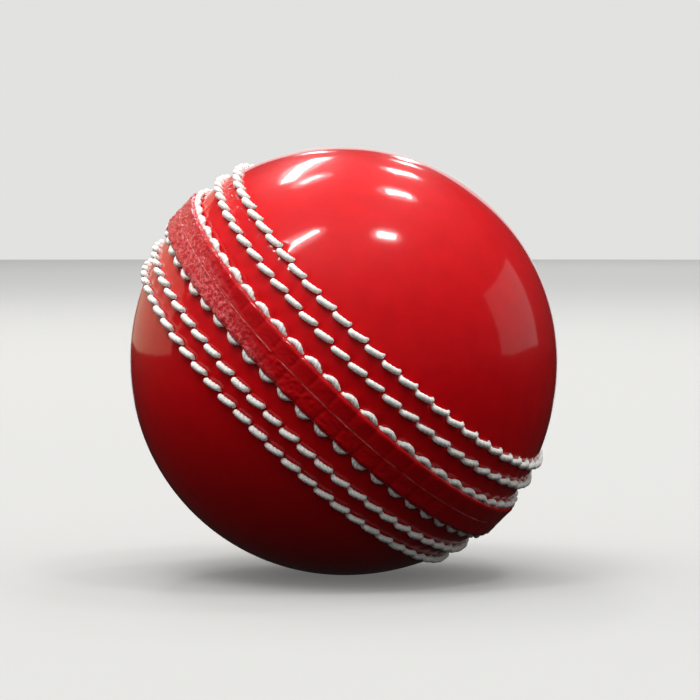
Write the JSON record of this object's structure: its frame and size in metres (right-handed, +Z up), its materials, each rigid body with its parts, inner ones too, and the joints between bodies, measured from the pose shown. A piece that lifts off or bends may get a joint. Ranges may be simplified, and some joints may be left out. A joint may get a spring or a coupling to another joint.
{
  "type": "cricket ball",
  "caption": "Glossy red two-piece leather cricket ball with a raised stitched seam and off-white threads, over a layered cork and yarn core.",
  "frame": {"origin": "centre of the ball", "axes": "+Z up as the ball lies on the smooth leather of its lower cup; +Y along the horizontal line in the seam plane; the seam axis leans in the XZ plane at 45 degrees from +Z towards +X"},
  "size_m": [0.072, 0.0752, 0.072],
  "materials": {
    "lacquered_leather": "polished, thick clear lacquer",
    "waxed_thread": "waxed, twisted",
    "cork": "sheet cork, matt",
    "worsted_yarn": "wound tight, matt",
    "cork_rubber": "granular, matt"
  },
  "bodies": {
    "root": {"leather_cup_upper": "lacquered_leather", "leather_cup_lower": "lacquered_leather", "upper_rows_thread_a": "waxed_thread", "upper_rows_thread_b": "waxed_thread", "primary_seam_thread_a": "waxed_thread", "primary_seam_thread_b": "waxed_thread", "lower_rows_thread_a": "waxed_thread", "lower_rows_thread_b": "waxed_thread", "cork_rubber_nucleus": "cork_rubber", "yarn_winding_1": "worsted_yarn", "cork_layer_1": "cork", "yarn_winding_2": "worsted_yarn", "cork_layer_2": "cork", "yarn_winding_3": "worsted_yarn", "cork_layer_3": "cork", "yarn_winding_4": "worsted_yarn"}
  },
  "joints": []
}
